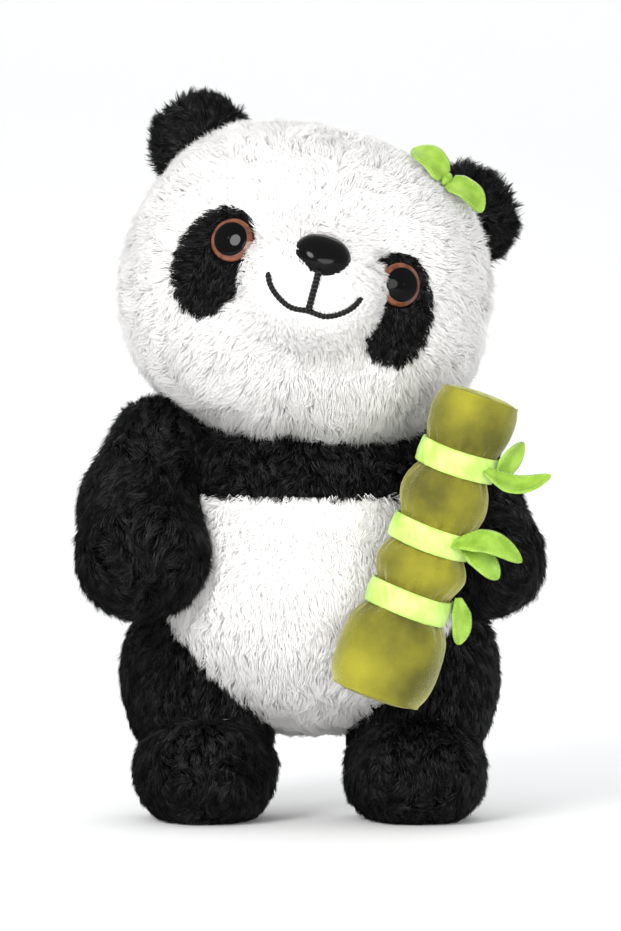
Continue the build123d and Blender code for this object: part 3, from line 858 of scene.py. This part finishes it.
around_count, up_count = 200, 300
angle, height = np.meshgrid(np.linspace(0, 2 * pi, around_count, endpoint=False),
                            np.linspace(0, STALK_LENGTH, up_count))
radius = stalk_radius(height, angle)
soft = np.array([[noise.noise(Vector((cos(a) * 1.6, sin(a) * 1.6, h / 15))) for a, h in zip(*row)]
                 for row in zip(angle, height)])
radius = radius + 1.1 * soft - 1.8 * np.exp(-(height / 3.4) ** 1.4)      # softly rounded in at both ends
radius = radius - 0.8 * np.exp(-((STALK_LENGTH - height) / 3) ** 1.4)
end = np.minimum(height, STALK_LENGTH - height)
radius = radius + 0.55 * np.exp(-(end / 0.9) ** 2)                      # the seam's ridge
grid = np.stack((radius * np.cos(angle), radius * np.sin(angle), height), axis=2).reshape(-1, 3)
faces = []
for row in range(up_count - 1):
    a = row * around_count + np.arange(around_count)
    b = row * around_count + (np.arange(around_count) + 1) % around_count
    faces.append(np.stack((a, b, b + around_count, a + around_count), axis=1))
stalk = make_piece("stalk_velour", put(STALK, grid), np.vstack(faces), [STALK_PILE], "stalk", "stalk_pile",
                   ["stalk_cover"])
core = np.stack(((radius - 1.2) * np.cos(angle), (radius - 1.2) * np.sin(angle), height), axis=2)[2:-2]
core = np.vstack((core.reshape(-1, 3), [(0, 0, height[2, 0]), (0, 0, height[-3, 0])]))
core_quads = [q for f in faces[:-4] for q in f]
core_faces = [(q[0], q[1], q[2]) for q in core_quads] + [(q[0], q[2], q[3]) for q in core_quads]
for k in range(around_count):
    j, last = (k + 1) % around_count, (up_count - 5) * around_count
    core_faces += [(len(core) - 2, j, k), (len(core) - 1, last + k, last + j)]
make_piece("stalk_filling", put(STALK, core), core_faces, [STUFFING], "stalk", "stuffing", ["stalk_stuffing"])

for name, row, way, at in (("bottom", 0, -1, 0.0), ("top", up_count - 1, 1, STALK_LENGTH)):
    # a crowned end, sewn in a little inside the seam's ridge
    rings = 22
    rim = radius[row] - 0.35
    turns = angle[0]
    points = [(0, 0, at + way * END_CROWN)]
    for ring in range(1, rings + 1):
        t = ring / rings
        crown = END_CROWN * (1 - t ** 2.4) - 0.7 * np.exp(-((1 - t) * 16) ** 2)
        for k in range(around_count):
            ripple = 0.22 * t ** 3 * sin(9 * turns[k] + 1) * (1 - t) * 4
            z = at + way * (crown + ripple)
            points.append((rim[k] * t * cos(turns[k]), rim[k] * t * sin(turns[k]), z))
    under = len(points)
    inner_z = at - way * 1.4
    points += [(rim[k] * cos(turns[k]), rim[k] * sin(turns[k]), inner_z) for k in range(around_count)]
    points.append((0, 0, inner_z))
    triangles = []
    for k in range(around_count):
        j = (k + 1) % around_count
        triangles.append((0, 1 + k, 1 + j))
        for ring in range(rings - 1):
            a, b = 1 + ring * around_count + k, 1 + ring * around_count + j
            triangles += [(a, a + around_count, b + around_count), (a, b + around_count, b)]
        a, b = 1 + (rings - 1) * around_count + k, 1 + (rings - 1) * around_count + j
        triangles += [(a, under + k, under + j), (a, under + j, b), (under + k, len(points) - 1, under + j)]
    triangles = np.array(triangles)
    if way < 0:
        triangles = triangles[:, ::-1]
    make_piece(f"stalk_{name}_disc", put(STALK, points), triangles, [STALK_END_PILE], "stalk",
               "stalk_end_pile", [f"stalk_end_{name}"])


# ---- ribbons round the waists ----
def layer_quads(a, b, layer_size):
    """The same quad on the outer and on the inner layer, each facing out."""
    c, d = layer_size + a, layer_size + b
    return [(a, b, b + 1, a + 1), (c, c + 1, d + 1, d)]


def rim_quad(a, b, layer_size):
    """From an edge of the outer layer to the same edge of the inner one."""
    return (a, layer_size + a, layer_size + b, b)


for number, ribbon in enumerate(RIBBONS):
    across_count, round_count = 10, 220
    waist = WAIST_R[ribbon]
    rows = []
    for layer in (0.75, 0.25):
        for k in range(round_count):
            a = 2 * pi * k / round_count
            front = sin(-a)                                  # 1 towards the viewer's side, -Y
            fold = 0.22 * sin(5 * a + number) + 0.14 * sin(13 * a + 2 * number)
            for m in range(across_count + 1):
                w = m / across_count * 2 - 1
                crown = 0.55 * (1 - w * w) + fold * w + 0.1 * sin(23 * a + 5 * w)
                r = waist + layer + crown
                z = RIBBON_AT[ribbon] + w * (RIBBON_W / 2 + 0.2) - 1.1 * front + 0.35 * sin(2 * a + number)
                rows.append((r * cos(a), r * sin(a), z))
    stride, layer_size = across_count + 1, round_count * (across_count + 1)
    faces = []
    for k in range(round_count):
        j = (k + 1) % round_count
        for m in range(across_count):
            a, b = k * stride + m, j * stride + m
            faces += layer_quads(a, b, layer_size)
        for m, flip in ((0, 1), (across_count, -1)):
            faces.append(rim_quad(k * stride + m, j * stride + m, layer_size)[::flip])
    band = make_piece(f"ribbon_{ribbon}_satin", put(STALK, rows), faces, [RIBBON_SATIN], "stalk",
                      "ribbon_satin", [f"ribbon_{ribbon}"])


# ---- leaves: satin, folded down the middle and topstitched ----
def leaf_piece(name, matrix, length, width, body, stands_for, arch=0.0, sag=0.0, roll=0.0, start=-2.4,
               hollow=0.7, blunt=0.46, wide_from=0.12):
    """A leaf along X in XY: arch bends it out of its plane, sag in its plane, and roll turns it about X."""
    n_long, n_wide, thick = 40, 12, 0.55
    roller = turn("X", roll)
    t = np.linspace(0, 1, n_long + 1)
    half = width / 2 * np.clip(np.minimum((t + wide_from) / 0.46, 1), 0, 1) ** 0.9
    half = half * np.clip(1 - np.clip((t - blunt) / (1.005 - blunt), 0, 1) ** 2.3, 0.012, 1) ** 0.62
    x = start + (length - start) * t
    rise = arch * np.sin(pi * t * 0.95) - 0.6 * arch * t ** 2
    middle = np.stack((x, sag * np.sin(pi * t ** 1.1), rise), axis=1)
    points = []
    for layer in (thick, -thick):
        for k in range(n_long + 1):
            for m in range(n_wide + 1):
                w = m / n_wide * 2 - 1
                puff = layer * (1 - 0.75 * w ** 6) * (1 - 0.6 * t[k] ** 12)
                crease = hollow * (abs(w) ** 1.5 - 0.35)
                wave = 0.25 * sin(7 * t[k] + 2 * w) * abs(w)
                points.append(middle[k] + np.array((0, w * half[k], puff + crease + wave)))
    stride, layer_size = n_wide + 1, (n_long + 1) * (n_wide + 1)
    faces = []
    for k in range(n_long):
        for m in range(n_wide):
            a, b = k * stride + m, (k + 1) * stride + m
            faces += layer_quads(a, b, layer_size)
        for m, flip in ((0, 1), (n_wide, -1)):
            faces.append(rim_quad(k * stride + m, (k + 1) * stride + m, layer_size)[::flip])
    for k, flip in ((0, -1), (n_long, 1)):
        for m in range(n_wide):
            faces.append(rim_quad(k * stride + m, k * stride + m + 1, layer_size)[::flip])
    local = put(roller, points)
    piece = make_piece(name, put(matrix, local), faces, [LEAF_SATIN], body, "leaf_satin", stands_for)
    # topstitching: one row of short stitches inside the edge, all round
    stitches, stitch_faces = np.zeros((0, 3)), []
    for edge_side in (-1, 1):
        count = int(length / 1.7)
        for s in range(count):
            at = 0.12 + 0.82 * (s + np.array((0.12, 0.3, 0.5, 0.7, 0.88))) / count
            h = np.interp(at, t, half) * 0.8 * edge_side
            mid = np.stack([np.interp(at, t, middle[:, c]) for c in range(3)], axis=1)
            lift = thick * 0.8 + hollow * (0.8 ** 1.5 - 0.35) + 0.1
            path = mid + np.stack((np.zeros(5), h, np.full(5, lift)), axis=1)
            path[[0, -1], 2] -= 0.25
            tube, quads = swept(put(roller, path), 0.17, 5)
            stitch_faces += [tuple(i + len(stitches) for i in quad) for quad in quads]
            stitches = np.vstack((stitches, tube))
    sewn = make_piece(f"{name}_topstitch", put(matrix, stitches), stitch_faces, [LEAF_STITCH], body,
                      "green_thread")


# name: ribbon, body, length, width, rise, turn, around, arch, sag, roll
STALK_LEAVES = {
    "leaf_upper_level": ("upper", "leaves_upper", 25, 12, -9, -6, -44, -5.0, -1.0, -50),
    "leaf_upper_raised": ("upper", "leaves_upper", 17, 10.5, 50, 14, -20, 1.0, 0.5, 28),
    "leaf_middle_level": ("middle", "leaves_middle", 27, 12.5, -10, -8, -56, 5.5, 1.0, -42),
    "leaf_middle_low": ("middle", "leaves_middle", 18, 10.5, -42, -6, -40, 2.0, 0.5, -24),
    "leaf_lower": ("lower", "leaves_lower", 17, 10.5, -88, 12, -6, 1.5, 0.5, -24),
}
for name, (ribbon, body, length, width, rise, turned_by, around, arch, sag, roll) in STALK_LEAVES.items():
    reach = WAIST_R[ribbon] + 0.5 + LEAF_GAP
    up = RIBBON_AT[ribbon] + (5.5 if ribbon == "lower" else 0)
    root = put(STALK @ turn("Z", around), [(reach, 0, up)])[0]
    place = shift(root) @ turn("Z", turned_by) @ turn("Y", -rise) @ turn("X", 90)
    leaf_piece(f"{name}_satin", place, length, width, body, [name], arch, sag, roll)

# ---- bow of two leaves before the left ear ----
BOW = frame_on(joint_place("bow_twist"), joint_axis("bow_twist"), HEAD[:3, :3] @ np.array((1, 0, -0.4)))
leaf_piece("head_leaf_upper_satin", BOW @ turn("Z", 172), 19.5, 14.5, "bow", ["head_leaf_upper"],
           arch=2.4, sag=-1.0, roll=4, start=1.6, blunt=0.6, wide_from=0.3)
leaf_piece("head_leaf_lower_satin", BOW @ turn("Z", -4), 20.5, 13.5, "bow", ["head_leaf_lower"],
           arch=2.4, sag=1.0, roll=-4, start=1.6, blunt=0.5, wide_from=0.3)
knot_middle = put(BOW, [(0, 0, 0)])[0]
knot_skin = closed_skin(lambda p: ellipsoid(back(BOW, p), (0, 0, 0), (2.0, 3.4, 2.3)), knot_middle, 5, 8)
wraps = back(BOW, knot_skin[0])
wraps *= (1 + 0.05 * np.sin(wraps[:, 1] * 3.4))[:, None]
make_piece("head_knot_wrap", put(BOW, wraps), knot_skin[1], [LEAF_SATIN], "bow", "green_thread",
           ["head_leaf_knot"])

# ---- the parts inside keep their CAD meshes ----
INNER = (("washer", WASHER), ("pellet", PELLETS), ("neck_thread", WHITE_THREAD),
         ("shoulder_thread", BLACK_THREAD), ("tack_thread", GREEN_THREAD))
for node_name, node in frame["nodes"].items():
    found = [material for key, material in INNER if key in node_name]
    node.data.materials.clear()
    node.data.materials.append(found[0] if found else STUFFING)

# ---- stage, light and camera ----
floor_size, floor_rise = 6.0, 2.6
sweep_start, sweep_r = 1.1, 0.9
sweep = [(-3.2, 0.0), (sweep_start, 0.0)]
sweep += [(sweep_start + sweep_r * sin(a), sweep_r - sweep_r * cos(a)) for a in np.linspace(0.1, pi / 2, 16)]
sweep.append((sweep_start + sweep_r, floor_rise))
floor_mesh = bpy.data.meshes.new("backdrop")
floor_points = [(x, y, z) for y, z in sweep for x in (-floor_size, floor_size)]
floor_faces = [(2 * k, 2 * k + 1, 2 * k + 3, 2 * k + 2) for k in range(len(sweep) - 1)]
floor_mesh.from_pydata(floor_points, [], floor_faces)
for face in floor_mesh.polygons:
    face.use_smooth = True
floor_mesh.materials.append(principled("backdrop_paper", (0.93, 0.93, 0.93), 0.95, Specular_IOR_Level=0.1))
floor = bpy.data.objects.new("backdrop", floor_mesh)
bpy.context.scene.collection.objects.link(floor)

world = bpy.data.worlds.new("studio")
world.use_nodes = True
world.node_tree.nodes["Background"].inputs["Color"].default_value = (0.98, 0.99, 1.0, 1)
world.node_tree.nodes["Background"].inputs["Strength"].default_value = 0.75
bpy.context.scene.world = world
bpy.context.scene.view_settings.view_transform = "Standard"


def softbox(name, place, size, power, shape="RECTANGLE", aim=(0, 0, 0.16)):
    light = bpy.data.lights.new(name, "AREA")
    light.shape = shape
    light.size, light.size_y = size
    light.energy = power
    lamp = bpy.data.objects.new(name, light)
    lamp.location = place
    lamp.rotation_euler = (Vector(aim) - Vector(place)).to_track_quat("-Z", "Y").to_euler()
    bpy.context.scene.collection.objects.link(lamp)


softbox("key", (-0.75, -1.45, 0.85), (0.7, 0.7), 23, "ELLIPSE")
softbox("fill", (0.5, -1.7, 0.35), (1.4, 0.7), 15, "ELLIPSE")
softbox("rim", (0.2, 1.0, 1.2), (1.0, 0.6), 5)

CAMERA_DISTANCE, CAMERA_RISE, VIEW_HEIGHT, LOOK_Z = 1.8, 1.0, 0.3985, 0.1503
SENSOR = 36
target = Vector((TOY[0] * MM, TOY[1] * MM, LOOK_Z))
camera_data = bpy.data.cameras.new("camera")
camera_data.sensor_width = SENSOR
camera_data.lens = SENSOR * CAMERA_DISTANCE / VIEW_HEIGHT
camera = bpy.data.objects.new("camera", camera_data)
away = Vector((0, -cos(radians(CAMERA_RISE)), sin(radians(CAMERA_RISE))))
camera.location = target + away * CAMERA_DISTANCE
camera.rotation_euler = (target - camera.location).to_track_quat("-Z", "Y").to_euler()
bpy.context.scene.collection.objects.link(camera)
bpy.context.scene.camera = camera
